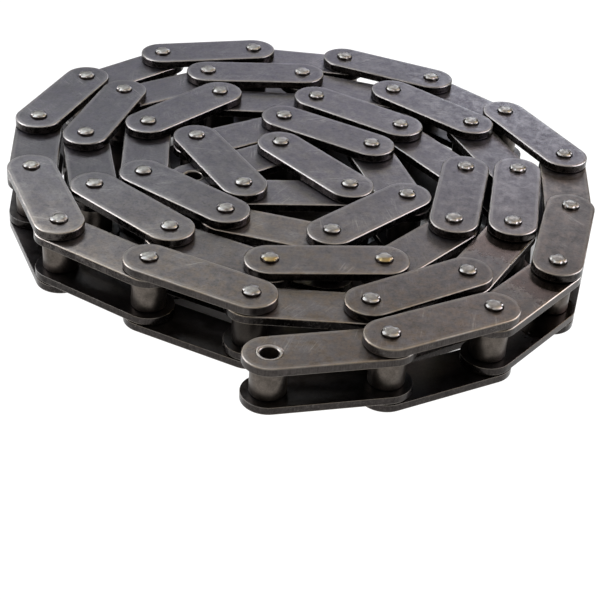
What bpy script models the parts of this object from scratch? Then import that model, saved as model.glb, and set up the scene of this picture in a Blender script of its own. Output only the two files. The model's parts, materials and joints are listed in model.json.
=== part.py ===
"""A wound length of steel conveyor chain, lying on its side on the floor.

It is double-pitch roller chain with straight-sided plates and small rollers. Inner links (two plates on
two bushes that carry rollers) alternate with outer links (two plates riveted on two pins). The pins stand
upright, so the links turn in the plane of the floor. The chain begins at its free outer end and winds
inwards, anticlockwise seen from above. Units are metres and +Z is up.
"""

import math

import bmesh
import bpy
from mathutils import Vector

# Sizes of the chain, from its pitch, its plates and its round parts
PITCH = 0.0508
PLATE_HEIGHT = 0.0234
PLATE_THICKNESS = 0.0040
ROLLER_DIAMETER = 0.01588
ROLLER_SPACE = 0.01575
BUSH_DIAMETER = 0.0112
PIN_DIAMETER = 0.00794
RIVET_HEAD = 0.0018

# Play between pieces that move on each other
PLAY_UNDER_INNER_LINK = 0.0003
PLAY_OVER_INNER_LINK = 0.0006
PIN_PLAY = 0.0006
ROLLER_PLAY = 0.0004
ROLLER_END_PLAY = 0.0003

# Levels of the plates above the floor, with the lower rivet heads standing on it
LOWER_OUTER_PLATE = RIVET_HEAD
LOWER_INNER_PLATE = LOWER_OUTER_PLATE + PLATE_THICKNESS + PLAY_UNDER_INNER_LINK
UPPER_INNER_PLATE = LOWER_INNER_PLATE + PLATE_THICKNESS + ROLLER_SPACE
UPPER_OUTER_PLATE = UPPER_INNER_PLATE + PLATE_THICKNESS + PLAY_OVER_INNER_LINK
PIN_LENGTH = UPPER_OUTER_PLATE + PLATE_THICKNESS + RIVET_HEAD

# How the chain lies: the way each link points, in degrees anticlockwise from +X, one row for each turn.
# The first link is the free outer end, and inner links and outer links take turns.
OUTER_TURN = (14.5, 29.5, 52, 77.5, 87.5, 121.5, 138.5, 159, 177, 195, 224.5, 251, 276.5, 294.5, 329.5, 335.5)
SECOND_TURN = (1, 33, 62.5, 83, 114, 142, 165.5, 186.5, 215.5, 256, 283.5, 320, 336)
THIRD_TURN = (7, 50, 81, 128.5, 150, 183, 229.5, 274.5, 325, 346.5)
FOURTH_TURN = (46.5, 109.5, 152.5, 213.5, 301.5)
TUCKED_END = (6.5, 133.5, 217.5)
HEADINGS = OUTER_TURN + SECOND_TURN + THIRD_TURN + FOURTH_TURN + TUCKED_END

# Links at the free end whose rollers are loose pieces of their own
LINKS_WITH_LOOSE_ROLLERS = 3

# How finely round shapes are cut
PLATE_END_STEPS = 8
PIN_SIDES = 8
ROLLER_SIDES = 12
SMOOTH_BELOW = math.radians(50)
FLAT_BELOW = math.radians(1)
WELD_DISTANCE = 0.00001

PLATE_COLOUR = (0.075, 0.069, 0.066)
PIN_COLOUR = (0.10, 0.095, 0.09)
ROLLER_COLOUR = (0.055, 0.050, 0.047)


def clear_scene():
    """Remove whatever the scene holds at the start."""
    for thing in list(bpy.data.objects):
        bpy.data.objects.remove(thing, do_unlink=True)


def new_collection(name):
    collection = bpy.data.collections.new(name)
    bpy.context.scene.collection.children.link(collection)
    return collection


def steel(name, colour, roughness):
    """A blackened steel in the colour and gloss of one kind of piece."""
    material = bpy.data.materials.new(name)
    material.use_nodes = True
    surface = material.node_tree.nodes["Principled BSDF"]
    surface.inputs["Base Color"].default_value = (*colour, 1.0)
    surface.inputs["Roughness"].default_value = roughness
    surface.inputs["Metallic"].default_value = 1.0
    return material


def plate_outline():
    """Corners of a link plate: straight sides, and a half circle around each of its two holes."""
    radius = PLATE_HEIGHT / 2
    corners = []
    for centre, first_angle in ((PITCH, -math.pi / 2), (0.0, math.pi / 2)):
        for step in range(PLATE_END_STEPS + 1):
            angle = first_angle + math.pi * step / PLATE_END_STEPS
            corners.append((centre + radius * math.cos(angle), radius * math.sin(angle)))
    return corners


def plate(workshop, bottom):
    """A plate without holes, lying flat with its underside at the given level."""
    curve = bpy.data.curves.new("plate_outline", "CURVE")
    curve.dimensions = "2D"
    curve.fill_mode = "BOTH"
    curve.extrude = PLATE_THICKNESS / 2
    corners = plate_outline()
    spline = curve.splines.new("POLY")
    spline.points.add(len(corners) - 1)
    for point, (x, y) in zip(spline.points, corners):
        point.co = (x, y, 0.0, 1.0)
    spline.use_cyclic_u = True
    outline = bpy.data.objects.new("plate_outline", curve)
    workshop.objects.link(outline)
    outline.location.z = bottom + PLATE_THICKNESS / 2
    bpy.context.view_layer.update()
    mesh = bpy.data.meshes.new_from_object(outline.evaluated_get(bpy.context.evaluated_depsgraph_get()))
    mesh.transform(outline.matrix_world)
    bpy.data.objects.remove(outline, do_unlink=True)
    work = bmesh.new()
    work.from_mesh(mesh)
    bmesh.ops.remove_doubles(work, verts=work.verts, dist=WELD_DISTANCE)
    bmesh.ops.dissolve_limit(work, angle_limit=FLAT_BELOW, verts=work.verts, edges=work.edges)
    bmesh.ops.recalc_face_normals(work, faces=work.faces)
    work.to_mesh(mesh)
    work.free()
    solid = bpy.data.objects.new("plate", mesh)
    workshop.objects.link(solid)
    return solid


def rod(workshop, diameter, bottom, top, along, sides):
    """An upright round bar at a distance along the link."""
    mesh = bpy.data.meshes.new("rod")
    work = bmesh.new()
    bmesh.ops.create_cone(
        work,
        cap_ends=True,
        segments=sides,
        radius1=diameter / 2,
        radius2=diameter / 2,
        depth=top - bottom,
    )
    bmesh.ops.translate(work, verts=work.verts, vec=Vector((along, 0.0, (bottom + top) / 2)))
    work.to_mesh(mesh)
    work.free()
    bar = bpy.data.objects.new("rod", mesh)
    bar.hide_render = True
    bar.display_type = "WIRE"
    workshop.objects.link(bar)
    return bar


def combine(solid, tools, operation):
    """Add or cut the tools on a solid, one after the other."""
    for tool in tools:
        change = solid.modifiers.new("change", "BOOLEAN")
        change.operation = operation
        change.solver = "EXACT"
        change.object = tool


def finished_mesh(solid, name, material):
    """The solid with its modifiers applied, shaded smooth where it is round."""
    bpy.context.view_layer.update()
    mesh = bpy.data.meshes.new_from_object(solid.evaluated_get(bpy.context.evaluated_depsgraph_get()))
    mesh.name = name
    mesh.materials.clear()
    mesh.materials.append(material)
    mesh.shade_smooth()
    mesh.set_sharp_from_angle(angle=SMOOTH_BELOW)
    return mesh


def outer_link_mesh(workshop, material):
    """Two plates riveted on two pins, whose heads stand proud of the plates."""
    link = plate(workshop, LOWER_OUTER_PLATE)
    pins = [rod(workshop, PIN_DIAMETER, 0.0, PIN_LENGTH, along, PIN_SIDES) for along in (0.0, PITCH)]
    upper_plate = plate(workshop, UPPER_OUTER_PLATE)
    combine(link, [*pins, upper_plate], "UNION")
    return finished_mesh(link, "outer_link", material)


def inner_link_mesh(workshop, barrel_diameter, sides, name, material):
    """Two plates pressed on two bushes with open bores. The barrels between them are bushes or rollers."""
    link = plate(workshop, LOWER_INNER_PLATE)
    half_in = PLATE_THICKNESS / 2
    barrel_ends = (LOWER_INNER_PLATE + half_in, UPPER_INNER_PLATE + half_in)
    barrels = [rod(workshop, barrel_diameter, *barrel_ends, along, sides) for along in (0.0, PITCH)]
    upper_plate = plate(workshop, UPPER_INNER_PLATE)
    combine(link, [*barrels, upper_plate], "UNION")
    bore = PIN_DIAMETER + 2 * PIN_PLAY
    cutters = [rod(workshop, bore, 0.0, PIN_LENGTH, along, PIN_SIDES) for along in (0.0, PITCH)]
    combine(link, cutters, "DIFFERENCE")
    return finished_mesh(link, name, material)


def roller_mesh(workshop, material):
    """A plain roller with its bore, which turns on a bush between the inner plates."""
    bottom = LOWER_INNER_PLATE + PLATE_THICKNESS + ROLLER_END_PLAY
    top = UPPER_INNER_PLATE - ROLLER_END_PLAY
    roller = rod(workshop, ROLLER_DIAMETER, bottom, top, 0.0, ROLLER_SIDES)
    bore = rod(workshop, BUSH_DIAMETER + 2 * ROLLER_PLAY, 0.0, PIN_LENGTH, 0.0, ROLLER_SIDES)
    combine(roller, [bore], "DIFFERENCE")
    return finished_mesh(roller, "roller", material)


def pin_places():
    """Where the pins stand, from the free outer end inwards: each link is one pitch long."""
    places = [Vector((0.0, 0.0, 0.0))]
    for heading in HEADINGS:
        angle = math.radians(heading)
        places.append(places[-1] + PITCH * Vector((math.cos(angle), math.sin(angle), 0.0)))
    return places


def place(collection, name, mesh, where, turn):
    piece = bpy.data.objects.new(name, mesh)
    piece.location = where
    piece.rotation_euler.z = turn
    collection.objects.link(piece)
    return piece


def lay_links(collection, places, inner, inner_with_bushes, outer):
    """Each link has its origin on the pin that joins it to the next link inwards."""
    for index, heading in enumerate(HEADINGS):
        number = index // 2 + 1
        if index % 2:
            name, mesh = f"outer_link_{number:02d}", outer
        elif number <= LINKS_WITH_LOOSE_ROLLERS:
            name, mesh = f"inner_link_{number:02d}", inner_with_bushes
        else:
            name, mesh = f"inner_link_{number:02d}", inner
        place(collection, name, mesh, places[index + 1], math.radians(heading + 180))


def lay_rollers(collection, places, roller):
    """The loose rollers of the free end, each with its origin on its own axis."""
    for index in range(2 * LINKS_WITH_LOOSE_ROLLERS):
        link = 2 * (index // 2)
        place(collection, f"roller_{index + 1:02d}", roller, places[index], math.radians(HEADINGS[link]))


def centre_over_origin(collection):
    """Shift the chain so that the middle of its footprint lies over the origin."""
    bpy.context.view_layer.update()
    corners = [piece.matrix_world @ vertex.co for piece in collection.objects for vertex in piece.data.vertices]
    middle = Vector((0.0, 0.0, 0.0))
    for axis in (0, 1):
        middle[axis] = (min(c[axis] for c in corners) + max(c[axis] for c in corners)) / 2
    for piece in collection.objects:
        piece.location -= middle
    bpy.context.view_layer.update()


def main():
    clear_scene()
    chain = new_collection("steel_chain_coil")
    workshop = new_collection("plain_shapes")
    outer_steel = steel("outer_link_steel", PIN_COLOUR, 0.38)
    inner_steel = steel("inner_link_steel", PLATE_COLOUR, 0.42)
    roller_steel = steel("roller_steel", ROLLER_COLOUR, 0.45)
    outer = outer_link_mesh(workshop, outer_steel)
    inner = inner_link_mesh(workshop, ROLLER_DIAMETER, ROLLER_SIDES, "inner_link", inner_steel)
    inner_with_bushes = inner_link_mesh(
        workshop, BUSH_DIAMETER, ROLLER_SIDES, "inner_link_with_bushes", inner_steel
    )
    roller = roller_mesh(workshop, roller_steel)
    for shape in list(workshop.objects):
        bpy.data.objects.remove(shape, do_unlink=True)
    bpy.data.collections.remove(workshop)
    places = pin_places()
    lay_links(chain, places, inner, inner_with_bushes, outer)
    lay_rollers(chain, places, roller)
    centre_over_origin(chain)


main()
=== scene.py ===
"""Looks of a wound length of steel conveyor chain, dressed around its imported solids.

Every link of the chain is modelled with its plates, riveted pins or pressed bushes, and its rollers, and is
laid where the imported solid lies. Units are metres and +Z is up.
"""

from __future__ import annotations

import json
import logging
import math
import random
from collections.abc import Callable, Iterable, Iterator, Sequence
from dataclasses import dataclass, field
from enum import Enum

import bpy
from mathutils import Matrix, Vector

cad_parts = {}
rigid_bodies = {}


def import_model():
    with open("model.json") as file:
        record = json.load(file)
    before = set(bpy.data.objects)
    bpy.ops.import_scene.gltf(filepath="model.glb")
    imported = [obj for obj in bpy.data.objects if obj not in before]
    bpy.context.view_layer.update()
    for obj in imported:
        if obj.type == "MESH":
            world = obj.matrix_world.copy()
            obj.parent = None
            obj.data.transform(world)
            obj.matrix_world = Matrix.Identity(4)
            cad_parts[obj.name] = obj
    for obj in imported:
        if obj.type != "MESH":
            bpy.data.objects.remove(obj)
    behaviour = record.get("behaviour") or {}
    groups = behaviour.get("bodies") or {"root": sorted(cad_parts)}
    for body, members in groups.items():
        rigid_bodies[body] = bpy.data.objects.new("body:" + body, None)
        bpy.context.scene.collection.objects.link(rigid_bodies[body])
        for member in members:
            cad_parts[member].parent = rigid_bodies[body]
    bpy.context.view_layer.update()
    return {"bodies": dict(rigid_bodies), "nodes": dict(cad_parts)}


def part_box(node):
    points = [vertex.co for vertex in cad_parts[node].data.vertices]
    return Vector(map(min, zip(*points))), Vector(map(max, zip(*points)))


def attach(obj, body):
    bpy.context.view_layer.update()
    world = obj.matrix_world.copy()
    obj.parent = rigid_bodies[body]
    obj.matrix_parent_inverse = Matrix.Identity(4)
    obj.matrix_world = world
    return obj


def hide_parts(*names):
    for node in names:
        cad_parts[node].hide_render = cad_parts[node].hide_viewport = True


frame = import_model()

LOG = logging.getLogger("steel_chain")
MM = 0.001
TONE_SEED = 47


def linear_colour(hex_colour: str) -> tuple[float, float, float, float]:
    """Turn an sRGB hex colour into the linear values that shaders take.

    Args:
        hex_colour: A colour such as "#4b4644".

    Returns:
        Linear red, green, blue and an alpha of 1.
    """
    channels = (int(hex_colour[place : place + 2], 16) / 255 for place in (1, 3, 5))
    red, green, blue = (c / 12.92 if c <= 0.04045 else ((c + 0.055) / 1.055) ** 2.4 for c in channels)
    return (red, green, blue, 1.0)


def grey(level: float) -> tuple[float, float, float, float]:
    """Return an even grey of a linear level, with an alpha of 1."""
    return (level, level, level, 1.0)


class Side(Enum):
    """Which way a plate's rolled rim faces."""

    UP = 1
    DOWN = -1


class LinkKind(Enum):
    """The two kinds of link that take turns along the chain."""

    INNER = "inner_link"
    OUTER = "outer_link"


@dataclass(frozen=True)
class ChainSizes:
    """Sizes of the chain, in metres, as its solids have them."""

    pitch: float = 50.8 * MM
    plate_height: float = 23.4 * MM
    plate_thickness: float = 4.0 * MM
    roller_diameter: float = 15.88 * MM
    roller_space: float = 15.75 * MM
    bush_diameter: float = 11.2 * MM
    bush_bore: float = 8.1 * MM
    pin_diameter: float = 7.94 * MM
    rivet_head: float = 1.8 * MM
    play_under_inner_link: float = 0.3 * MM
    play_over_inner_link: float = 0.6 * MM
    seam: float = 0.04 * MM

    @property
    def lower_outer_plate(self) -> float:
        """Level of the underside of a lower outer plate."""
        return self.rivet_head

    @property
    def lower_inner_plate(self) -> float:
        """Level of the underside of a lower inner plate."""
        return self.lower_outer_plate + self.plate_thickness + self.play_under_inner_link

    @property
    def upper_inner_plate(self) -> float:
        """Level of the underside of an upper inner plate."""
        return self.lower_inner_plate + self.plate_thickness + self.roller_space

    @property
    def upper_outer_plate(self) -> float:
        """Level of the underside of an upper outer plate."""
        return self.upper_inner_plate + self.plate_thickness + self.play_over_inner_link

    @property
    def pin_top(self) -> float:
        """Level of the top of the upper rivet heads."""
        return self.upper_outer_plate + self.plate_thickness + self.rivet_head


@dataclass(frozen=True)
class CoilRoute:
    """How the chain lies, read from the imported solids.

    The first link is the free outer end, and inner links and outer links take turns. A link is the same turned
    half round, so the middle of its solid lies halfway between its two pins.
    """

    first_roller: str = "roller_01"

    @staticmethod
    def middle(node: str) -> Vector:
        """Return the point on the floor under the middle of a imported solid."""
        low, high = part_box(node)
        return Vector(((low.x + high.x) / 2, (low.y + high.y) / 2, 0.0))

    def links(self) -> Iterator[tuple[LinkKind, str, Matrix]]:
        """Walk along the chain from its free outer end inwards.

        Returns:
            Each link's kind, its solid's name, and its frame, with the origin on its first pin and +X along it.
        """
        pin = self.middle(self.first_roller)
        count = sum("_link_" in node for node in frame["nodes"])
        for index in range(count):
            kind = LinkKind.OUTER if index % 2 else LinkKind.INNER
            node = f"{kind.value}_{index // 2 + 1:02d}"
            half = self.middle(node) - pin
            turn = Matrix.Rotation(math.atan2(half.y, half.x), 4, "Z")
            yield kind, node, Matrix.Translation(pin) @ turn
            pin = pin + 2 * half


class Bench:
    """The modelling steps that every piece shares."""

    @staticmethod
    def clear_selection() -> None:
        """Leave edit mode and deselect everything."""
        if bpy.context.object and bpy.context.object.mode != "OBJECT":
            bpy.ops.object.mode_set(mode="OBJECT")
        bpy.ops.object.select_all(action="DESELECT")

    @staticmethod
    def hold(thing: bpy.types.Object) -> None:
        """Make one object the only selected and active one."""
        Bench.clear_selection()
        thing.select_set(True)
        bpy.context.view_layer.objects.active = thing

    @staticmethod
    def pick(thing: bpy.types.Object, mode: str, test: Callable[[list[Vector]], bool]) -> None:
        """Select parts of a mesh by their place, ready for the next edit.

        Args:
            thing: The object, active and in edit mode.
            mode: VERT, EDGE or FACE.
            test: Takes the corners of a part and says whether it is selected.
        """
        bpy.ops.mesh.select_mode(type=mode)
        bpy.ops.mesh.select_all(action="DESELECT")
        bpy.ops.object.mode_set(mode="OBJECT")
        mesh = thing.data
        corners = [vertex.co for vertex in mesh.vertices]
        if mode == "VERT":
            for vertex in mesh.vertices:
                vertex.select = test([vertex.co])
        else:
            parts = mesh.edges if mode == "EDGE" else mesh.polygons
            for part in parts:
                part.select = test([corners[index] for index in part.vertices])
        bpy.ops.object.mode_set(mode="EDIT")

    @staticmethod
    def cut(thing: bpy.types.Object, tools: Sequence[bpy.types.Object]) -> None:
        """Cut tools out of a solid, apply the cuts and throw the tools away."""
        for tool in tools:
            change = thing.modifiers.new("cut", "BOOLEAN")
            change.operation = "DIFFERENCE"
            change.solver = "EXACT"
            change.object = tool
        Bench.hold(thing)
        for change in list(thing.modifiers):
            bpy.ops.object.modifier_apply(modifier=change.name)
        for tool in tools:
            bpy.data.objects.remove(tool, do_unlink=True)

    @staticmethod
    def join(parts: Sequence[bpy.types.Object]) -> bpy.types.Object:
        """Join objects into the first of them, keeping their materials apart."""
        Bench.clear_selection()
        for part in parts:
            part.select_set(True)
        bpy.context.view_layer.objects.active = parts[0]
        bpy.ops.object.join()
        return parts[0]


def near(value: float, target: float, within: float = 0.01 * MM) -> bool:
    """Tell whether two lengths are the same within a hair."""
    return abs(value - target) < within


def level(corners: Iterable[Vector], height: float) -> bool:
    """Tell whether all corners lie at one height."""
    return all(near(corner.z, height) for corner in corners)


@dataclass
class LinkPlate:
    """A link plate, blanked from strip and tumbled: straight sides, round ends and two punched holes."""

    sizes: ChainSizes
    bottom: float
    hole_diameter: float
    rolled_rim: Side
    end_steps: int = 24
    hole_steps: int = 40
    trim: float = 0.12 * MM
    rim_radius: float = 0.6 * MM
    burr_radius: float = 0.2 * MM
    roll_over: float = 0.07 * MM
    roll_over_width: float = 2.4 * MM
    burr_band: float = 0.4 * MM
    rim_band: float = 0.8 * MM
    hole_chamfer: float = 0.35 * MM
    rim_wear: float = 0.9
    rim_wear_angle: float = 35.0
    rim_wear_fade: float = 70.0
    roll_over_wear: float = 0.16
    edge_wear: float = 0.4

    @property
    def end_radius(self) -> float:
        """Radius of the round ends, a hair inside the faceted solid's."""
        return self.sizes.plate_height / 2 - self.trim

    def blank(self) -> bpy.types.Object:
        """Make the plate's outline as one face, at the level of its burred side."""
        bpy.ops.mesh.primitive_circle_add(vertices=2 * self.end_steps, radius=self.end_radius)
        plate = bpy.context.object
        bpy.ops.object.mode_set(mode="EDIT")
        Bench.pick(plate, "VERT", lambda corners: corners[0].x > 0.01 * MM)
        bpy.ops.mesh.delete(type="VERT")
        bpy.ops.mesh.select_all(action="SELECT")
        bpy.ops.mesh.duplicate()
        middle = (self.sizes.pitch / 2, 0.0, 0.0)
        bpy.ops.transform.rotate(value=math.pi, orient_axis="Z", center_override=middle)
        bpy.ops.mesh.select_all(action="SELECT")
        bpy.ops.mesh.bridge_edge_loops()
        bpy.ops.mesh.select_all(action="SELECT")
        bpy.ops.mesh.dissolve_faces()
        return plate

    def thicken(self, plate: bpy.types.Object) -> None:
        """Raise the blank to its thickness, with the rolled-over rim on its top."""
        top = self.sizes.plate_thickness
        middle_band = top - self.burr_band - self.rim_band
        bpy.ops.mesh.select_all(action="SELECT")
        for rise in (self.burr_band, middle_band, self.rim_band):
            bpy.ops.mesh.extrude_region_move(TRANSFORM_OT_translate={"value": (0.0, 0.0, rise)})
        Bench.pick(plate, "FACE", lambda corners: level(corners, 0.0))
        bpy.ops.mesh.inset(thickness=2 * self.burr_radius)
        Bench.pick(plate, "FACE", lambda corners: level(corners, top))
        ring = 1.1 * self.rim_radius
        bpy.ops.mesh.inset(thickness=ring)
        step = self.roll_over_width / 3
        for _step in range(3):
            bpy.ops.mesh.inset(thickness=step)
        # The share of the roll-over that each ring takes, from the outline inwards
        for depth, share in ((0.0, 1.0), (ring, 0.7), (ring + step, 0.2)):
            Bench.pick(plate, "VERT", lambda corners, d=depth: self.on_top_ring(corners[0], d))
            bpy.ops.transform.translate(value=(0.0, 0.0, -self.roll_over * share))
        bpy.ops.mesh.select_all(action="SELECT")
        bpy.ops.mesh.normals_make_consistent(inside=False)

    def inwards(self, corner: Vector) -> float:
        """Return how far a corner lies inside the plate's outline."""
        along = min(max(corner.x, 0.0), self.sizes.pitch)
        return self.end_radius - math.hypot(corner.x - along, corner.y)

    def on_outline(self, corner: Vector) -> bool:
        """Tell whether a corner lies on the plate's outline."""
        return near(self.inwards(corner), 0.0, 0.03 * MM)

    def on_top_ring(self, corner: Vector, depth: float) -> bool:
        """Tell whether a corner lies on the top face, a given way inside the outline."""
        return near(corner.z, self.sizes.plate_thickness) and near(self.inwards(corner), depth, 0.03 * MM)

    def ease_rims(self, plate: bpy.types.Object) -> None:
        """Round the top rim as blanking and tumbling leave it, and break the edge of the burred side."""
        top = self.sizes.plate_thickness - self.roll_over
        rims = ((top, self.rim_radius, 4), (0.0, self.burr_radius, 2))
        for height, radius, segments in rims:
            Bench.pick(
                plate, "EDGE", lambda ends, h=height: level(ends, h) and all(map(self.on_outline, ends))
            )
            bpy.ops.mesh.bevel(offset=radius, segments=segments, affect="EDGES")
        bpy.ops.object.mode_set(mode="OBJECT")

    def punch(self, plate: bpy.types.Object) -> None:
        """Punch the two holes and break their edges."""
        radius = self.hole_diameter / 2
        top = self.sizes.plate_thickness
        punches = []
        for along in (0.0, self.sizes.pitch):
            bpy.ops.mesh.primitive_cylinder_add(
                vertices=self.hole_steps, radius=radius, depth=3 * top, location=(along, 0.0, top / 2)
            )
            punches.append(bpy.context.object)
        Bench.cut(plate, punches)
        bpy.ops.object.mode_set(mode="EDIT")
        for height in (top, 0.0):
            Bench.pick(plate, "EDGE", lambda ends, h=height: level(ends, h) and all(map(self.on_hole, ends)))
            bpy.ops.mesh.bevel(offset=self.hole_chamfer, segments=1, affect="EDGES")
        bpy.ops.object.mode_set(mode="OBJECT")

    def on_hole(self, corner: Vector, outside: float = 0.0) -> bool:
        """Tell whether a corner lies on the wall of a hole, or a given way outside it."""
        radius = self.hole_diameter / 2 + outside
        away = (math.hypot(corner.x - along, corner.y) for along in (0.0, self.sizes.pitch))
        return any(near(distance, radius, 0.05 * MM) for distance in away)

    def on_hole_rim(self, corner: Vector) -> bool:
        """Tell whether a corner lies where the chamfer of a hole meets its wall."""
        return self.on_hole(corner) and corner.z > self.sizes.plate_thickness / 2

    def build(self, finish: bpy.types.Material) -> bpy.types.Object:
        """Model the plate at its level in a link.

        Args:
            finish: The plate's material.

        Returns:
            The plate, with its first hole over the origin and its second one pitch along +X.
        """
        Bench.clear_selection()
        plate = self.blank()
        self.thicken(plate)
        self.ease_rims(plate)
        self.punch(plate)
        self.mark_wear(plate)
        if self.rolled_rim is Side.DOWN:
            half_turn = Matrix.Diagonal((1.0, -1.0, -1.0, 1.0))
            plate.data.transform(Matrix.Translation((0.0, 0.0, self.sizes.plate_thickness)) @ half_turn)
        plate.data.transform(Matrix.Translation((0.0, 0.0, self.bottom)))
        plate.data.materials.append(finish)
        return plate

    def mark_wear(self, plate: bpy.types.Object) -> None:
        """Mark how far each corner takes part in the worn rim, and which ones lie on the inner face, which takes
        oil and painted shade.
        """
        wear = plate.data.attributes.new("rim_wear", "FLOAT", "POINT")
        inner_oil_and_shade = plate.data.attributes.new("inner_face_oil_and_shade", "FLOAT", "POINT")
        top = self.sizes.plate_thickness - self.roll_over
        for index, vertex in enumerate(plate.data.vertices):
            # The burred face lies inside the link, and its corners take oil and painted shade
            inner_oil_and_shade.data[index].value = 1.0 if vertex.co.z < 0.5 * self.burr_radius else 0.0
            inwards = self.inwards(vertex.co)
            around = math.degrees(math.atan2(self.rim_radius - inwards, vertex.co.z - top + self.rim_radius))
            on_rim = inwards < 1.05 * self.rim_radius and vertex.co.z > top - 1.05 * self.rim_radius
            on_roll = inwards < self.rim_radius + 0.4 * self.roll_over_width and vertex.co.z > top
            on_burr = inwards < 0.5 * self.burr_radius and vertex.co.z < self.burr_radius
            amount = 0.0
            if on_rim:
                amount = max(0.0, self.rim_wear - abs(around - self.rim_wear_angle) / self.rim_wear_fade)
            elif on_roll:
                amount = self.roll_over_wear
            elif on_burr or self.on_hole_rim(vertex.co):
                amount = self.edge_wear
            wear.data[index].value = amount


@dataclass(frozen=True)
class HeadRing:
    """A ring of a rivet head: its rise over the last, how it spreads, and what a stake mark leaves of it."""

    rise: float
    spread: float
    left: float


@dataclass
class RivetedPin:
    """A pin whose two ends are set over the outer plates, each with four stake marks.

    A stake mark is deepest within its core, in degrees to either side of its middle, and shallow out to its reach.
    """

    sizes: ChainSizes
    along: float
    sides: int = 32
    rings: tuple[HeadRing, ...] = (
        HeadRing(0.40 * MM, 0.94, 0.97),
        HeadRing(0.58 * MM, 1.05, 0.88),
        HeadRing(0.32 * MM, 1.00, 0.82),
        HeadRing(0.14 * MM, 0.955, 0.78),
    )
    stake_angle: float = 39.4
    stake_reach: float = 12.0
    stake_core: float = 7.0
    shrink: float = 0.981
    sunk_foot: float = 0.15 * MM
    flat_edge: float = 0.9 * MM
    edge_crown: float = 0.36 * MM
    flat_core: float = 1.1 * MM
    core_crown: float = 0.08 * MM
    shade_from: float = 0.68 * MM
    shade_fade: float = 0.25 * MM
    polish_down_to: float = 0.7 * MM
    polish_outside: float = 0.82

    def stake(self, pin: bpy.types.Object, height: float, left: float) -> None:
        """Pull the ring of a head inwards where the four stake marks are.

        Args:
            pin: The pin, in edit mode.
            height: The level of the ring.
            left: What is left of the ring's radius in the middle of a mark.
        """
        part = math.sqrt(left)
        head_core = 0.3 * self.sizes.pin_diameter
        for reach in (self.stake_reach, self.stake_core):

            def at_mark(corners: list[Vector]) -> bool:
                angle = math.degrees(math.atan2(corners[0].y, corners[0].x))
                off_centre = math.hypot(corners[0].x, corners[0].y) > head_core
                from_link = 90 - abs(abs(angle) - 90)
                return off_centre and near(corners[0].z, height) and abs(from_link - self.stake_angle) < reach

            Bench.pick(pin, "VERT", at_mark)
            bpy.ops.transform.resize(value=(part, part, 1.0), center_override=(0.0, 0.0, height))

    def head(self, pin: bpy.types.Object, start: float, way: float) -> None:
        """Raise one rivet head from the pin's end face.

        Args:
            pin: The pin, in edit mode.
            start: The level of the end face.
            way: 1 for the upper head and -1 for the lower one.
        """
        Bench.pick(pin, "FACE", lambda corners: level(corners, start))
        for ring in self.rings:
            bpy.ops.mesh.extrude_region_move(TRANSFORM_OT_translate={"value": (0.0, 0.0, way * ring.rise)})
            bpy.ops.transform.resize(value=(ring.spread, ring.spread, 1.0), center_override=(0.0, 0.0, 0.0))
        for inwards, crown in ((self.flat_edge, self.edge_crown), (self.flat_core, self.core_crown)):
            bpy.ops.mesh.inset(thickness=inwards)
            bpy.ops.transform.translate(value=(0.0, 0.0, way * crown))
        height = start
        for ring in self.rings:
            height += way * ring.rise
            self.stake(pin, height, ring.left)

    def build(self, finish: bpy.types.Material) -> bpy.types.Object:
        """Model the pin with its heads.

        Args:
            finish: The pin's material.

        Returns:
            The pin, upright at its place along the link.
        """
        Bench.clear_selection()
        low = self.sizes.rivet_head + self.sunk_foot
        high = self.sizes.pin_top - low
        bpy.ops.mesh.primitive_cylinder_add(
            vertices=self.sides,
            radius=self.sizes.pin_diameter / 2 / self.shrink,
            depth=high - low,
            location=(0.0, 0.0, (high + low) / 2),
        )
        pin = bpy.context.object
        bpy.ops.object.transform_apply(location=True)
        bpy.ops.object.mode_set(mode="EDIT")
        self.head(pin, high, 1.0)
        self.head(pin, low, -1.0)
        bpy.ops.mesh.select_all(action="SELECT")
        bpy.ops.mesh.normals_make_consistent(inside=False)
        bpy.ops.object.mode_set(mode="OBJECT")
        soften = pin.modifiers.new("soften", "SUBSURF")
        soften.levels = soften.render_levels = 1
        Bench.hold(pin)
        bpy.ops.object.modifier_apply(modifier=soften.name)
        wear = pin.data.attributes.new("rim_wear", "FLOAT", "POINT")
        polish = pin.data.attributes.new("polish", "FLOAT", "POINT")
        for index, vertex in enumerate(pin.data.vertices):
            from_end = min(vertex.co.z, self.sizes.pin_top - vertex.co.z)
            from_axis = math.hypot(vertex.co.x, vertex.co.y) / (self.sizes.pin_diameter / 2)
            # Below the rim the head takes painted shade, as under an overhang
            wear.data[index].value = min(1.0, max(0.0, (from_end - self.shade_from) / self.shade_fade))
            rubbed = from_end < self.polish_down_to and from_axis > self.polish_outside
            polish.data[index].value = 1.0 if rubbed else 0.0
        pin.data.transform(Matrix.Translation((self.along, 0.0, 0.0)))
        pin.data.materials.append(finish)
        return pin


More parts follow.
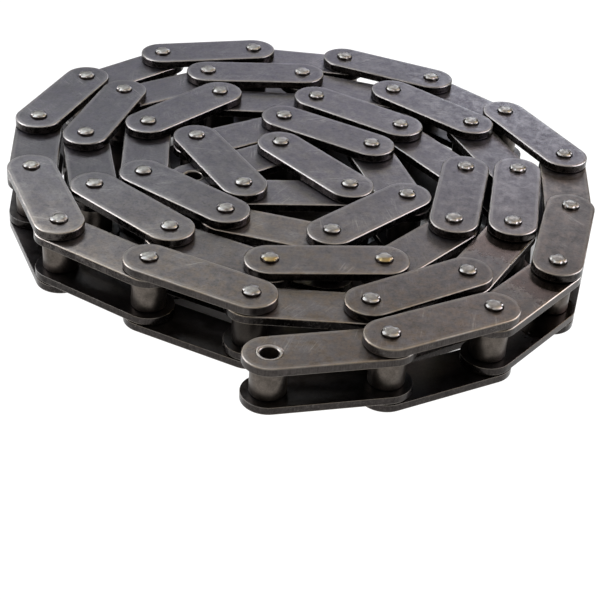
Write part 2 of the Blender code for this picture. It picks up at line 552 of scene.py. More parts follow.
@dataclass
class TurnedRing:
    """A ring turned from bar, such as a bush or a roller, with chamfered ends."""

    outer_diameter: float
    bore: float
    bottom: float
    top: float
    outer_chamfer: float
    bore_chamfer: float
    bore_segments: int = 2
    steps: int = 40
    mouth_wear: float = 0.5

    def build(self, name: str, finish: bpy.types.Material) -> bpy.types.Object:
        """Turn the ring's cross-section once around.

        Args:
            name: The ring's name while it is made.
            finish: Its material.

        Returns:
            The ring, upright over the origin.
        """
        Bench.clear_selection()
        inner, outer = self.bore / 2, self.outer_diameter / 2
        bpy.ops.mesh.primitive_plane_add(size=1.0, rotation=(math.pi / 2, 0.0, 0.0))
        ring = bpy.context.object
        ring.name = name
        ring.scale = (outer - inner, self.top - self.bottom, 1.0)
        ring.location = ((inner + outer) / 2, 0.0, (self.top + self.bottom) / 2)
        bpy.ops.object.transform_apply(location=True, rotation=True, scale=True)
        bpy.ops.object.mode_set(mode="EDIT")
        rounds = ((outer, self.outer_chamfer, 2), (inner, self.bore_chamfer, self.bore_segments))
        for radius, chamfer, segments in rounds:
            Bench.pick(ring, "VERT", lambda corners, r=radius: near(corners[0].x, r))
            bpy.ops.mesh.bevel(offset=chamfer, segments=segments, affect="VERTICES")
        bpy.ops.mesh.select_all(action="SELECT")
        bpy.ops.mesh.delete(type="ONLY_FACE")
        bpy.ops.mesh.select_all(action="SELECT")
        bpy.ops.mesh.spin(steps=self.steps, angle=2 * math.pi, center=(0.0, 0.0, 0.0), axis=(0.0, 0.0, 1.0))
        bpy.ops.mesh.select_all(action="SELECT")
        bpy.ops.mesh.remove_doubles(threshold=0.001 * MM)
        bpy.ops.mesh.normals_make_consistent(inside=False)
        bpy.ops.object.mode_set(mode="OBJECT")
        wear = ring.data.attributes.new("rim_wear", "FLOAT", "POINT")
        for index, vertex in enumerate(ring.data.vertices):
            from_end = min(vertex.co.z - self.bottom, self.top - vertex.co.z)
            from_bore = math.hypot(vertex.co.x, vertex.co.y) - inner
            on_end = from_end < 0.7 * self.bore_chamfer
            in_mouth = on_end and from_bore < outer - inner - 0.5 * self.outer_chamfer
            wear.data[index].value = self.mouth_wear if in_mouth else 0.0
        ring.data.materials.append(finish)
        return ring


def add_node(
    tree: bpy.types.NodeTree,
    kind: str,
    inputs: dict[int | str, object] | None = None,
    settings: dict[str, object] | None = None,
    output: int | str = 0,
) -> bpy.types.NodeSocket:
    """Add a node to a tree, set it up and link its inputs.

    Args:
        tree: The node tree.
        kind: The node's type name, without its "ShaderNode" start.
        inputs: A constant, or a socket to link, for each input that is set.
        settings: Properties of the node.
        output: The output that is wanted.

    Returns:
        The socket of that output.
    """
    node = tree.nodes.new("ShaderNode" + kind)
    for name, value in (settings or {}).items():
        setattr(node, name, value)
    for name, value in (inputs or {}).items():
        if isinstance(value, bpy.types.NodeSocket):
            tree.links.new(value, node.inputs[name])
        else:
            node.inputs[name].default_value = value
    return node.outputs[output]


SMOOTH = {"interpolation_type": "SMOOTHSTEP"}
COLOUR = {"data_type": "RGBA"}
TIMES = {"operation": "MULTIPLY"}
LARGER = {"operation": "MAXIMUM"}
SIZE_OF = {"operation": "ABSOLUTE"}
APART = {"operation": "DISTANCE"}


def between(
    source: bpy.types.NodeSocket, low: float, high: float, start: float, end: float
) -> dict[str, object]:
    """Return the inputs that spread a value over a new range."""
    return {"Value": source, "From Min": low, "From Max": high, "To Min": start, "To Max": end}


def speckle(size: float, detail: float, roughness: float, place: bpy.types.NodeSocket) -> dict[str, object]:
    """Return the inputs of a noise whose features are about one size in metres across."""
    return {"Scale": 1 / size, "Detail": detail, "Roughness": roughness, "Vector": place}


@dataclass(frozen=True)
class BlackOxidePlate:
    """Hot-blacked medium-carbon steel plate, blanked, heat-treated, tumbled and oiled.

    The oxide is a dark grey with a trace of violet, clouded where it took unevenly. Tumbling leaves a satin skin
    with fine nicks and stray scratches, and rubs the rims thin and pale. Dried oil and painted warm light tint it
    brown towards the free end, and painted cool light keeps it more violet away from it.
    """

    name: str = "black_oxide_plate"
    dark: str = "#4a4849"
    light: str = "#5a5859"
    violet: str = "#4f4c53"
    brown: str = "#5a5048"
    side: str = "#423e3c"
    film_and_shade: str = "#2b2827"
    stain: str = "#3b322d"
    bare: str = "#a39f9a"
    brassy: str = "#968b7b"
    free_end: float = -120 * MM
    far_side: float = 60 * MM
    roughness: float = 0.36

    def build(self) -> bpy.types.Material:
        """Build the material from object coordinates and the pieces' own attributes."""
        material = bpy.data.materials.new(self.name)
        material.use_nodes = True
        tree = material.node_tree
        surface = tree.nodes["Principled BSDF"]
        place = add_node(tree, "TexCoord", output="Object")
        local = add_node(tree, "Attribute", settings={"attribute_name": "link_place"}, output="Vector")
        # The first two vary over a piece, and each of the others is one value for a whole link
        wear, inner_oil_and_shade, own_tone, own_oil_and_warm_light, own_shade, own_stain = (
            add_node(tree, "Attribute", settings={"attribute_name": name}, output="Fac")
            for name in ("rim_wear", "inner_face_oil_and_shade", "own_tone", "own_oil_and_warm_light", "own_shade", "own_stain")
        )

        # Clouds of uneven oxide about 14 mm across, and blotches of about 4 mm
        clouds = add_node(tree, "TexNoise", speckle(14 * MM, 4.0, 0.55, place))
        blotches = add_node(tree, "TexNoise", speckle(4.0 * MM, 6.0, 0.65, place))
        # Tumbling nicks, really 0.1 to 0.2 mm across, drawn at 1 mm so that they show
        nicks = add_node(tree, "TexNoise", speckle(1.2 * MM, 4.0, 0.7, place))
        # Scratches: thin lines where a stretched noise passes its middle, two ways across the link
        scratch_lines = []
        for turn, stretch in ((0.5, (1.0, 0.02, 1.0)), (-0.9, (0.03, 1.0, 1.0))):
            about_z = {"rotation_type": "Z_AXIS"}
            turned = add_node(tree, "VectorRotate", {"Vector": local, "Angle": turn}, about_z)
            drawn = add_node(tree, "VectorMath", {0: turned, 1: stretch}, TIMES)
            bands = add_node(tree, "TexNoise", speckle(5.0 * MM, 2.0, 0.4, drawn))
            off_middle = add_node(tree, "Math", {0: bands, 1: 0.5}, {"operation": "SUBTRACT"})
            near_middle = add_node(tree, "Math", {0: off_middle}, SIZE_OF)
            thin = add_node(tree, "MapRange", between(near_middle, 0.002, 0.006, 1.0, 0.0), SMOOTH)
            scratch_lines.append(thin)
        either = add_node(tree, "Math", {0: scratch_lines[0], 1: scratch_lines[1]}, LARGER)
        patchy = add_node(tree, "MapRange", between(clouds, 0.48, 0.64, 0.0, 0.20), SMOOTH)
        scratches = add_node(tree, "Math", {0: either, 1: patchy}, TIMES)
        # Marks of the shear run across the thickness of a plate, about 0.6 mm apart
        across = add_node(tree, "VectorMath", {0: local, 1: (1.0, 1.0, 0.06)}, TIMES)
        shear = add_node(tree, "TexNoise", speckle(0.6 * MM, 3.0, 0.6, across))

        clouded = add_node(tree, "MapRange", between(clouds, 0.35, 0.68, 0.0, 1.0), SMOOTH)
        tone = add_node(
            tree, "Mix", {0: clouded, 6: linear_colour(self.dark), 7: linear_colour(self.light)}, COLOUR, 2
        )
        # The plates turn brown on the side of the free end and on a few links elsewhere, as dried oil and painted
        # warm light, and the rest keeps more of the violet of fresh blacking, with painted cool light
        depth = add_node(tree, "SeparateXYZ", {0: place}, output="Y")
        frontal = add_node(tree, "MapRange", between(depth, 0.0, self.free_end, 0.05, 1.0), SMOOTH)
        oil_and_warm_light = add_node(tree, "Math", {0: frontal, 1: own_oil_and_warm_light}, LARGER)
        rearward = add_node(tree, "MapRange", between(depth, self.free_end, self.far_side, 0.0, 1.0), SMOOTH)
        less = {"operation": "SUBTRACT", "use_clamp": True}
        fresh_and_cool_light = add_node(tree, "Math", {0: rearward, 1: own_oil_and_warm_light}, less)
        mottled = add_node(tree, "MapRange", between(blotches, 0.42, 0.66, 0.45, 1.0), SMOOTH)
        tinting = add_node(tree, "Math", {0: mottled, 1: fresh_and_cool_light}, TIMES)
        tinted = add_node(tree, "Mix", {0: tinting, 6: tone, 7: linear_colour(self.violet)}, COLOUR, 2)
        spotted = add_node(tree, "MapRange", between(blotches, 0.62, 0.34, 0.25, 1.0), SMOOTH)
        browning = add_node(tree, "Math", {0: spotted, 1: oil_and_warm_light}, TIMES)
        oil_and_painted_light = add_node(tree, "Mix", {0: browning, 6: tinted, 7: linear_colour(self.brown)}, COLOUR, 2)
        # The cut side of the plate is darker and browner, streaked by the shear
        facing = add_node(tree, "NewGeometry", output="Normal")
        upward = add_node(tree, "SeparateXYZ", {0: facing}, output="Z")
        steep = add_node(tree, "Math", {0: upward}, SIZE_OF)
        on_side = add_node(tree, "MapRange", between(steep, 0.5, 0.2, 0.0, 1.0))
        streaking = add_node(tree, "MapRange", between(shear, 0.3, 0.7, 0.75, 1.25))
        cut_side = linear_colour(self.side)[:3]
        streaked = add_node(tree, "VectorMath", {0: cut_side, "Scale": streaking}, {"operation": "SCALE"})
        sided = add_node(tree, "Mix", {0: on_side, 6: oil_and_painted_light, 7: streaked}, COLOUR, 2)
        # Oil and dirt stay as a near-black film on the inner faces, where it is also painted shade inside the
        # link, and on the cut sides low down and in patches away from the free end. On a few links in shadow it
        # covers the cut sides all over as painted shade. Nicks break it on the cut sides
        filmy = add_node(tree, "MapRange", between(blotches, 0.42, 0.54, 0.0, 1.0), SMOOTH)
        greasy = add_node(tree, "MapRange", between(depth, -120 * MM, -70 * MM, 0.0, 1.0), SMOOTH)
        kept = add_node(tree, "Math", {0: filmy, 1: greasy}, TIMES)
        height = add_node(tree, "SeparateXYZ", {0: place}, output="Z")
        low_down = add_node(tree, "MapRange", between(height, 14 * MM, 8 * MM, 0.0, 0.6))
        gathered = add_node(tree, "Math", {0: kept, 1: low_down}, LARGER)
        # A few links that lie in shadow take the film all over, as painted shade
        darkened = add_node(tree, "Math", {0: gathered, 1: own_shade}, LARGER)
        broken = add_node(tree, "MapRange", between(nicks, 0.54, 0.62, 1.0, 0.3), SMOOTH)
        flecked = add_node(tree, "Math", {0: darkened, 1: broken}, TIMES)
        side_film_and_shade = add_node(tree, "Math", {0: flecked, 1: on_side}, TIMES)
        # The inner faces take the film as oil with painted shade
        face_film_and_shade = add_node(tree, "Math", {0: inner_oil_and_shade, 1: 0.85}, TIMES)
        film_and_shade = add_node(tree, "Math", {0: side_film_and_shade, 1: face_film_and_shade}, LARGER)
        filmed_and_shaded = add_node(tree, "Mix", {0: film_and_shade, 6: sided, 7: linear_colour(self.film_and_shade)}, COLOUR, 2)
        # On two links a pool of wet oil covers the half towards the next link, up to a wandering edge
        along = add_node(tree, "SeparateXYZ", {0: local}, output="X")
        wander = add_node(tree, "MapRange", between(blotches, 0.3, 0.7, -6 * MM, 6 * MM))
        reach = add_node(tree, "Math", {0: along, 1: wander}, {"operation": "ADD"})
        pool = add_node(tree, "MapRange", between(reach, 24 * MM, 25 * MM, 0.0, 0.8), SMOOTH)
        wet = add_node(tree, "Math", {0: pool, 1: own_stain}, TIMES)
        stained = add_node(tree, "Mix", {0: wet, 6: filmed_and_shaded, 7: linear_colour(self.stain)}, COLOUR, 2)
        # Smears of wiped oil run along the link, about 2 mm wide
        wiped = add_node(tree, "VectorMath", {0: local, 1: (0.25, 1.0, 1.0)}, TIMES)
        smears = add_node(tree, "TexNoise", speckle(2.0 * MM, 4.0, 0.6, wiped))
        specking = add_node(tree, "MapRange", between(nicks, 0.35, 0.68, 0.80, 1.20))
        pitting = add_node(tree, "MapRange", between(nicks, 0.63, 0.70, 1.0, 0.4), SMOOTH)
        smudging = add_node(tree, "MapRange", between(smears, 0.35, 0.65, 0.92, 1.08))
        # Dark smudges about 3 mm across sit on a tenth of the face
        touched = add_node(tree, "TexNoise", speckle(3.0 * MM, 5.0, 0.75, place))
        thumbing = add_node(tree, "MapRange", between(touched, 0.56, 0.66, 1.0, 0.68), SMOOTH)
        pitted = add_node(tree, "Math", {0: specking, 1: pitting}, TIMES)
        wiping = add_node(tree, "Math", {0: smudging, 1: thumbing}, TIMES)
        marked = add_node(tree, "Math", {0: pitted, 1: wiping}, TIMES)
        specked = add_node(tree, "VectorMath", {0: stained, "Scale": marked}, {"operation": "SCALE"})
        # Bare metal shows along the rims, and paler oxide in the scratches that no film covers
        uncovered = add_node(tree, "Math", {0: 1.0, 1: film_and_shade}, {"operation": "SUBTRACT"})
        scratching = add_node(tree, "Math", {0: scratches, 1: uncovered}, TIMES)
        scratched = add_node(tree, "Mix", {0: scratching, 6: specked, 7: linear_colour(self.bare)}, COLOUR, 2)
        rub = add_node(tree, "MapRange", between(blotches, 0.25, 0.62, 0.45, 1.0))
        baring = add_node(tree, "Math", {0: wear, 1: rub}, TIMES)
        # Towards the free end and on a few links the bare rims turn brassy, as tarnish and a painted warm
        # reflection
        spread = add_node(tree, "MapRange", between(clouds, 0.40, 0.56, 0.3, 1.0), SMOOTH)
        tarnish_and_warm_reflection = add_node(tree, "Math", {0: spread, 1: oil_and_warm_light}, TIMES)
        bare = add_node(
            tree, "Mix", {0: tarnish_and_warm_reflection, 6: linear_colour(self.bare), 7: linear_colour(self.brassy)}, COLOUR, 2
        )
        rubbed = add_node(tree, "Mix", {0: baring, 6: scratched, 7: bare}, COLOUR, 2)
        toned = add_node(tree, "HueSaturation", {"Value": own_tone, "Color": rubbed})
        tree.links.new(toned, surface.inputs["Base Color"])

        surface.inputs["Metallic"].default_value = 1.0
        sheen = add_node(
            tree, "MapRange", between(blotches, 0.3, 0.7, self.roughness - 0.07, self.roughness + 0.10), SMOOTH
        )
        oil_and_shade = add_node(tree, "Math", {0: side_film_and_shade, 1: wet}, LARGER)
        glaze = add_node(tree, "MapRange", between(oil_and_shade, 0.0, 1.0, 1.0, 0.5))
        glazed = add_node(tree, "Math", {0: sheen, 1: glaze}, TIMES)
        tree.links.new(glazed, surface.inputs["Roughness"])
        relief = add_node(tree, "Math", {0: nicks, 1: shear}, {"operation": "ADD"})
        grooves = add_node(tree, "Math", {0: relief, 1: scratches}, {"operation": "SUBTRACT"})
        bump = add_node(tree, "Bump", {"Height": grooves, "Strength": 0.3, "Distance": 0.05 * MM})
        tree.links.new(bump, surface.inputs["Normal"])
        return material


@dataclass(frozen=True)
class SetRivetSteel:
    """Case-hardened pin steel, bright where the rivet head was spun and staked over the plate."""

    name: str = "set_rivet_steel"
    bright: str = "#827f7a"
    dull: str = "#6c6966"
    rubbed: str = "#93908c"
    amber: str = "#827350"
    wall_shade: str = "#403a36"
    roughness: float = 0.34

    def build(self) -> bpy.types.Material:
        """Build the material from object coordinates and the pieces' own attributes."""
        material = bpy.data.materials.new(self.name)
        material.use_nodes = True
        tree = material.node_tree
        surface = tree.nodes["Principled BSDF"]
        place = add_node(tree, "TexCoord", output="Object")
        # On a pin, rim_wear holds the painted shade of the head's wall
        darkened = add_node(tree, "Attribute", settings={"attribute_name": "rim_wear"}, output="Fac")
        # Smears of about 2 mm, and scuffs of about 0.4 mm
        smears = add_node(tree, "TexNoise", speckle(2.0 * MM, 4.0, 0.5, place))
        scuffs = add_node(tree, "TexNoise", speckle(0.4 * MM, 2.0, 0.5, place))
        dulling = add_node(tree, "MapRange", between(smears, 0.35, 0.65, 0.0, 1.0), SMOOTH)
        tone = add_node(
            tree, "Mix", {0: dulling, 6: linear_colour(self.bright), 7: linear_colour(self.dull)}, COLOUR, 2
        )
        # The edge of the head is rubbed bright, and below its rim the head is painted dark down to its foot as
        # shade under the overhang
        polish = add_node(tree, "Attribute", settings={"attribute_name": "polish"}, output="Fac")
        rubbed = add_node(tree, "Mix", {0: polish, 6: tone, 7: linear_colour(self.rubbed)}, COLOUR, 2)
        # On one link an amber varnish with a painted warm reflection covers one half of each head
        amber_tinted = add_node(tree, "Attribute", settings={"attribute_name": "own_amber"}, output="Fac")
        local = add_node(tree, "Attribute", settings={"attribute_name": "link_place"}, output="Vector")
        beside = add_node(tree, "SeparateXYZ", {0: local}, output="Y")
        amber_half = add_node(tree, "MapRange", between(beside, -0.4 * MM, -2.2 * MM, 0.0, 1.0), SMOOTH)
        amber_share = add_node(tree, "Math", {0: amber_tinted, 1: amber_half}, TIMES)
        edged = add_node(tree, "Mix", {0: amber_share, 6: rubbed, 7: linear_colour(self.amber)}, COLOUR, 2)
        wall_shaded = add_node(tree, "Mix", {0: darkened, 6: edged, 7: linear_colour(self.wall_shade)}, COLOUR, 2)
        tree.links.new(wall_shaded, surface.inputs["Base Color"])
        surface.inputs["Metallic"].default_value = 1.0
        sheen = add_node(
            tree, "MapRange", between(smears, 0.3, 0.7, self.roughness - 0.06, self.roughness + 0.12), SMOOTH
        )
        tree.links.new(sheen, surface.inputs["Roughness"])
        bump = add_node(tree, "Bump", {"Height": scuffs, "Strength": 0.12, "Distance": 0.05 * MM})
        tree.links.new(bump, surface.inputs["Normal"])
        return material


@dataclass(frozen=True)
class HardenedRollerSteel:
    """Carburised and blacked steel of bushes and rollers, turned, so that it is a little duller."""

    name: str = "hardened_roller_steel"
    dark: str = "#4a4540"
    light: str = "#625b55"
    oil_and_shade_colour: str = "#252220"
    bare: str = "#a09b95"
    coil_middle: tuple[float, float, float] = (8 * MM, 14 * MM, 18 * MM)
    roughness: float = 0.36

    def build(self) -> bpy.types.Material:
        """Build the material from object coordinates and the pieces' own attributes."""
        material = bpy.data.materials.new(self.name)
        material.use_nodes = True
        tree = material.node_tree
        surface = tree.nodes["Principled BSDF"]
        place = add_node(tree, "TexCoord", output="Object")
        wear = add_node(tree, "Attribute", settings={"attribute_name": "rim_wear"}, output="Fac")
        # Clouds of about 6 mm, specks of about 0.6 mm, and turning marks that ring the roller every 0.4 mm
        clouds = add_node(tree, "TexNoise", speckle(6.0 * MM, 5.0, 0.6, place))
        specks = add_node(tree, "TexNoise", speckle(0.6 * MM, 3.0, 0.7, place))
        ringed = add_node(tree, "VectorMath", {0: place, 1: (0.05, 0.05, 1.0)}, TIMES)
        rings = add_node(tree, "TexNoise", speckle(0.4 * MM, 2.0, 0.5, ringed))
        clouded = add_node(tree, "MapRange", between(clouds, 0.35, 0.65, 0.0, 1.0), SMOOTH)
        tone = add_node(
            tree, "Mix", {0: clouded, 6: linear_colour(self.dark), 7: linear_colour(self.light)}, COLOUR, 2
        )
        # The rollers of the inner turns, and those of the links in shadow, are darkened with oil and painted shade
        from_middle = add_node(tree, "VectorMath", {0: place, 1: self.coil_middle}, APART, "Value")
        inside = add_node(tree, "MapRange", between(from_middle, 98 * MM, 118 * MM, 0.75, 0.0), SMOOTH)
        own_shade = add_node(tree, "Attribute", settings={"attribute_name": "own_shade"}, output="Fac")
        oil_and_shade = add_node(tree, "Math", {0: inside, 1: own_shade}, LARGER)
        oil_and_painted_light = add_node(tree, "Mix", {0: oil_and_shade, 6: tone, 7: linear_colour(self.oil_and_shade_colour)}, COLOUR, 2)
        specking = add_node(tree, "MapRange", between(specks, 0.35, 0.68, 0.82, 1.18))
        specked = add_node(tree, "VectorMath", {0: oil_and_painted_light, "Scale": specking}, {"operation": "SCALE"})
        rubbed = add_node(tree, "Mix", {0: wear, 6: specked, 7: linear_colour(self.bare)}, COLOUR, 2)
        tree.links.new(rubbed, surface.inputs["Base Color"])
        surface.inputs["Metallic"].default_value = 1.0
        surface.inputs["Roughness"].default_value = self.roughness
        bump = add_node(tree, "Bump", {"Height": rings, "Strength": 0.2, "Distance": 0.03 * MM})
        tree.links.new(bump, surface.inputs["Normal"])
        return material


@dataclass
class Finishes:
    """The materials of the chain, each made once."""

    plate: bpy.types.Material
    rivet: bpy.types.Material
    roller: bpy.types.Material


@dataclass
class OuterLink:
    """An outer link: two plates riveted on two pins."""

    sizes: ChainSizes
    hole_chamfer: float = 0.3 * MM

    def build(self, finishes: Finishes) -> bpy.types.Object:
        """Model the link at rest on the floor, its first pin over the origin."""
        hole = self.sizes.pin_diameter + self.sizes.seam
        levels = ((self.sizes.upper_outer_plate, Side.UP), (self.sizes.lower_outer_plate, Side.DOWN))
        plates = [
            LinkPlate(self.sizes, bottom, hole, side, hole_chamfer=self.hole_chamfer).build(finishes.plate)
            for bottom, side in levels
        ]
        pins = [RivetedPin(self.sizes, along).build(finishes.rivet) for along in (0.0, self.sizes.pitch)]
        return Bench.join([*plates, *pins])


@dataclass
class InnerLink:
    """An inner link: two plates pressed on two bushes."""

    sizes: ChainSizes
    hole_chamfer: float = 0.25 * MM
    bore_chamfer: float = 0.75 * MM

    def build(self, finishes: Finishes) -> bpy.types.Object:
        """Model the link at rest on the floor, its first bush over the origin."""
        hole = self.sizes.bush_diameter + self.sizes.seam
        levels = ((self.sizes.upper_inner_plate, Side.UP), (self.sizes.lower_inner_plate, Side.DOWN))
        parts = [
            LinkPlate(self.sizes, bottom, hole, side, hole_chamfer=self.hole_chamfer).build(finishes.plate)
            for bottom, side in levels
        ]
        top = self.sizes.upper_inner_plate + self.sizes.plate_thickness
        bush = TurnedRing(
            self.sizes.bush_diameter,
            self.sizes.bush_bore,
            self.sizes.lower_inner_plate,
            top,
            outer_chamfer=0.25 * MM,
            bore_chamfer=self.bore_chamfer,
            bore_segments=3,
        )
        for along in (0.0, self.sizes.pitch):
            ring = bush.build("bush", finishes.roller)
            ring.data.transform(Matrix.Translation((along, 0.0, 0.0)))
            parts.append(ring)
        return Bench.join(parts)


@dataclass
class Roller:
    """A plain roller, free on its bush between the inner plates."""

    sizes: ChainSizes
    end_play: float = 0.3 * MM
    bore_play: float = 0.4 * MM

    def build(self, finishes: Finishes) -> bpy.types.Object:
        """Model the roller on its bush, over the origin."""
        ring = TurnedRing(
            self.sizes.roller_diameter,
            self.sizes.bush_diameter + self.bore_play,
            self.sizes.lower_inner_plate + self.sizes.plate_thickness + self.end_play,
            self.sizes.upper_inner_plate - self.end_play,
            outer_chamfer=0.6 * MM,
            bore_chamfer=0.4 * MM,
        )
        return ring.build("roller", finishes.roller)


@dataclass
class ChainCoil:
    """The whole chain, wound as it lies: 24 inner links, 23 outer links and 48 rollers."""

    sizes: ChainSizes
    route: CoilRoute
    finishes: Finishes
    loose_rollers: int = 6
    # The link whose heads take the amber tint with a painted warm reflection
    amber_tinted: tuple[str, ...] = ("outer_link_15",)
    stained: tuple[str, ...] = ("inner_link_02", "inner_link_10")
    # Links that lie in shadow, which take a film of painted shade
    darkened: tuple[str, ...] = ("inner_link_09", "outer_link_09", "inner_link_10")
    # Links tinted brown, as oil and painted warm light
    oil_and_painted_light: tuple[str, ...] = (
        *("outer_link_01", "outer_link_02"),
        *("inner_link_02", "inner_link_03", "inner_link_20"),
    )
    paler: tuple[str, ...] = (
        *("outer_link_03", "outer_link_07", "outer_link_10"),
        *("inner_link_04", "inner_link_05", "inner_link_20"),
    )
    darker: tuple[str, ...] = (
        *("outer_link_02", "outer_link_04", "outer_link_09", "outer_link_22"),
        *("inner_link_02", "inner_link_15", "inner_link_16", "inner_link_19"),
    )
    darkest: tuple[str, ...] = ("inner_link_07", "inner_link_14")
    tone_step: float = 0.14
    tone_spread: float = 0.05
    smooth_below: float = 32.0
    draws: random.Random = field(default_factory=lambda: random.Random(TONE_SEED))

    def master(self, model: OuterLink | InnerLink | Roller) -> bpy.types.Object:
        """Build one model, shade it and keep its own coordinates for the finishes."""
        thing = model.build(self.finishes)
        Bench.hold(thing)
        bpy.ops.object.shade_smooth_by_angle(angle=math.radians(self.smooth_below))
        place = thing.data.attributes.new("link_place", "FLOAT_VECTOR", "POINT")
        flat = [number for vertex in thing.data.vertices for number in vertex.co]
        place.data.foreach_set("vector", flat)
        return thing

    def lay(
        self, name: str, model: bpy.types.Object, where: Matrix, body: str, node: str
    ) -> None:
        """Copy a model to its place in the coil and tie it to its body.

        Args:
            name: The new piece's name.
            model: The piece to copy.
            where: Its frame in the coil.
            body: The body that it moves with.
            node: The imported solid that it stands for.
        """
        mesh = model.data.copy()
        mesh.transform(where)
        mesh.name = name
        tone = mesh.attributes.new("own_tone", "FLOAT", "POINT")
        steps = (node in self.paler) - (node in self.darker) - 2 * (node in self.darkest)
        value = 1.0 + self.tone_step * steps + self.draws.uniform(-self.tone_spread, self.tone_spread)
        tone.data.foreach_set("value", [value] * len(mesh.vertices))
        marks = (
            ("own_amber", self.amber_tinted, 1.0),
            ("own_stain", self.stained, 1.0),
            ("own_shade", self.darkened, 0.8),
            ("own_oil_and_warm_light", self.oil_and_painted_light, 0.7),
        )
        for mark, nodes, amount in marks:
            own = mesh.attributes.new(mark, "FLOAT", "POINT")
            own.data.foreach_set("value", [amount * (node in nodes)] * len(mesh.vertices))
        piece = bpy.data.objects.new(name, mesh)
        bpy.context.scene.collection.objects.link(piece)
        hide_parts(node)
        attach(piece, body)
        LOG.info("%s rides on %s", name, body)

    def build(self) -> None:
        """Model each kind of piece once and lay its copies along the route."""
        outer = self.master(OuterLink(self.sizes))
        inner = self.master(InnerLink(self.sizes))
        roller = self.master(Roller(self.sizes))
        bodies = frame["bodies"]
        for index, (kind, node, where) in enumerate(self.route.links()):
            body = node if node in bodies else "coil"
            if kind is LinkKind.OUTER:
                self.lay(f"{node}_plates_and_pins", outer, where, body, node)
                continue
            self.lay(f"{node}_plates_and_bushes", inner, where, body, node)
            for end in (0, 1):
                number = index + end + 1
                own = f"roller_{number:02d}"
                at_end = where @ Matrix.Translation((end * self.sizes.pitch, 0.0, 0.0))
                if number <= self.loose_rollers:
                    self.lay(f"{own}_barrel", roller, at_end, own, own)
                else:
                    self.lay(f"{own}_barrel", roller, at_end, body, node)
        for model in (outer, inner, roller):
            bpy.data.objects.remove(model, do_unlink=True)


@dataclass(frozen=True)
class SoftBox:
    """A square studio light, placed around the chain by its bearing from +X and its height in degrees."""

    name: str
    azimuth: float
    elevation: float
    distance: float
    size: float
    watts: float
    colour: str


# A scratch fit of lights to the photo's tones printed the strengths and tints of the six back boxes, the two wide
# ones and right_card. Those of overhead and the two low cards were changed from the fitted numbers. The fills and
# the room boxes were set one by one.
SOFT_BOXES = (
    SoftBox("back_low_right", 78, 20, 3.0, 0.6, 4.62, "#def0ff"),
    SoftBox("back_low_middle", 90, 20, 3.0, 0.6, 2.75, "#d3d6ff"),
    SoftBox("back_right", 78, 29, 3.0, 0.6, 3.63, "#fff3f7"),
    SoftBox("back_middle", 90, 29, 3.0, 0.6, 1.68, "#fff8c6"),
    SoftBox("back_high_left", 102, 38, 3.0, 0.6, 5.73, "#ecf7ff"),
    SoftBox("back_high_far_left", 114, 38, 3.0, 0.6, 8.51, "#fffdf5"),
    SoftBox("wide_right", 45, 50, 3.0, 1.5, 17.1, "#ffeabb"),
    SoftBox("wide_left", 135, 50, 3.0, 1.5, 33.4, "#e6f1ff"),
    SoftBox("overhead", 90, 72, 3.0, 1.5, 13.4, "#fff4ee"),
    SoftBox("front_fill", 268, 70, 3.0, 1.8, 12.0, "#fffaf6"),
    SoftBox("left_fill", 200, 52, 3.0, 1.2, 9.0, "#fffaf6"),
    SoftBox("room_left", 205, 30, 3.0, 1.5, 13.0, "#fffaf6"),
    SoftBox("room_front_left", 245, 30, 3.0, 1.5, 9.0, "#fffaf6"),
    SoftBox("room_front_right", 295, 30, 3.0, 1.5, 9.0, "#fffaf6"),
    SoftBox("room_right", 335, 30, 3.0, 1.5, 13.0, "#fffaf6"),
    SoftBox("room_far_right", 15, 30, 3.0, 1.5, 12.0, "#fffaf6"),
    SoftBox("room_far_left", 165, 30, 3.0, 1.5, 12.0, "#fffaf6"),
    SoftBox("right_card", 7.5, 38, 0.487, 0.2, 0.55, "#fde6ff"),
    SoftBox("low_right_card", 0, 15, 0.466, 0.35, 1.8, "#eef4ff"),
    SoftBox("low_left_card", 180, 18, 0.466, 0.25, 2.2, "#faf9ff"),
)


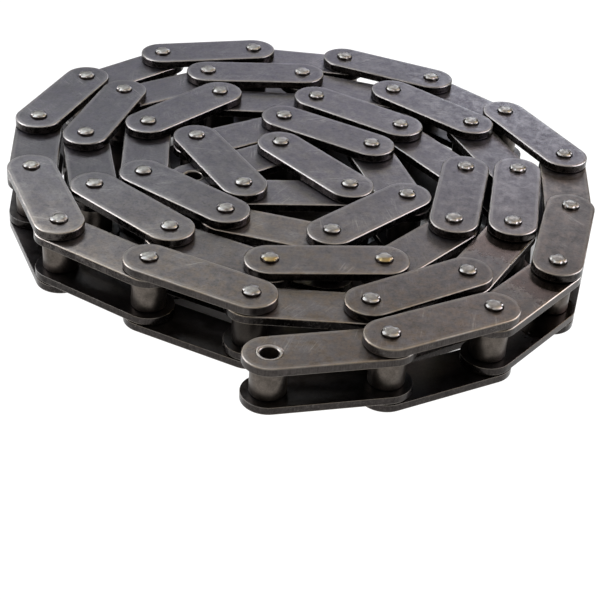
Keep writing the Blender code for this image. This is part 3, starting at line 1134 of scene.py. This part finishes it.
@dataclass
class Studio:
    """A white sweep under soft boxes, seen from the photograph's place."""

    eye: tuple[float, float, float] = (0.00525, -0.63198, 0.39441)
    tilt_down: float = 34.37
    roll: float = 4.10
    lens: float = 90.57
    card_level: float = 0.80
    shade_middle: tuple[float, float] = (8 * MM, 14 * MM)
    shade_inside: float = 100 * MM
    white_outside: float = 128 * MM

    def floor(self) -> None:
        """Lay a wide white floor under the chain, which glows all round it."""
        bpy.ops.mesh.primitive_plane_add(size=12.0, location=(0.0, 0.0, 0.0))
        floor = bpy.context.object
        floor.name = "white_floor"
        material = bpy.data.materials.new("white_sweep")
        material.use_nodes = True
        tree = material.node_tree
        tree.nodes.remove(tree.nodes["Principled BSDF"])
        # The picture shows the card burnt out to white all round the chain, but not under it
        place = add_node(tree, "TexCoord", output="Object")
        from_middle = add_node(tree, "VectorMath", {0: place, 1: (*self.shade_middle, 0.0)}, APART, "Value")
        edge = between(from_middle, self.shade_inside, self.white_outside, 0.0, 1.0)
        around = add_node(tree, "MapRange", edge, SMOOTH)
        card = add_node(tree, "BsdfDiffuse", {"Color": grey(self.card_level)})
        # All round the chain the floor glows as painted light, which also lights the chain like a lamp
        white = add_node(tree, "Emission", {"Strength": 1.1})
        both = add_node(tree, "MixShader", {0: around, 1: card, 2: white})
        tree.links.new(both, tree.nodes["Material Output"].inputs["Surface"])
        floor.data.materials.append(material)

    def soft_box(self, box: SoftBox) -> None:
        """Hang a square light that faces the chain."""
        turn, rise = math.radians(box.azimuth), math.radians(box.elevation)
        level_part = math.cos(rise)
        way = Vector((level_part * math.cos(turn), level_part * math.sin(turn), math.sin(rise)))
        place = box.distance * way
        lamp = bpy.data.lights.new(box.name, "AREA")
        lamp.shape = "SQUARE"
        lamp.size = box.size
        lamp.energy = box.watts
        lamp.color = linear_colour(box.colour)[:3]
        holder = bpy.data.objects.new(box.name, lamp)
        holder.location = place
        holder.rotation_euler = place.to_track_quat("Z", "Y").to_euler()
        bpy.context.scene.collection.objects.link(holder)

    def lights(self) -> None:
        """Light the chain with the soft boxes and the glowing floor, in front of a backdrop that is only seen."""
        world = bpy.data.worlds.new("white_backdrop")
        bpy.context.scene.world = world
        world.use_nodes = True
        tree = world.node_tree
        seen = add_node(tree, "LightPath", output="Is Camera Ray")
        backdrop = tree.nodes["Background"]
        backdrop.inputs["Color"].default_value = grey(1.0)
        tree.links.new(seen, backdrop.inputs["Strength"])
        for box in SOFT_BOXES:
            self.soft_box(box)

    def camera(self) -> None:
        """Set the camera where the photograph was taken."""
        camera = bpy.data.cameras.new("photo_camera")
        camera.lens = self.lens
        camera.sensor_width = 36.0
        camera.clip_start = 0.01
        holder = bpy.data.objects.new("photo_camera", camera)
        tilt = Matrix.Rotation(math.radians(90.0 - self.tilt_down), 4, "X")
        roll = Matrix.Rotation(math.radians(self.roll), 4, "Z")
        holder.matrix_world = Matrix.Translation(self.eye) @ tilt @ roll
        bpy.context.scene.collection.objects.link(holder)
        bpy.context.scene.camera = holder

    def build(self) -> None:
        """Build the floor, the lights and the camera, with plain colour handling."""
        self.floor()
        self.lights()
        self.camera()
        view = bpy.context.scene.view_settings
        view.view_transform = "Standard"
        view.look = "None"
        view.exposure = 0.0


def main() -> None:
    """Build the chain and its studio."""
    logging.basicConfig(level=logging.WARNING)
    Bench.clear_selection()
    sizes = ChainSizes()
    finishes = Finishes(BlackOxidePlate().build(), SetRivetSteel().build(), HardenedRollerSteel().build())
    ChainCoil(sizes, CoilRoute(), finishes).build()
    Studio().build()


if __name__ == "__main__":
    main()
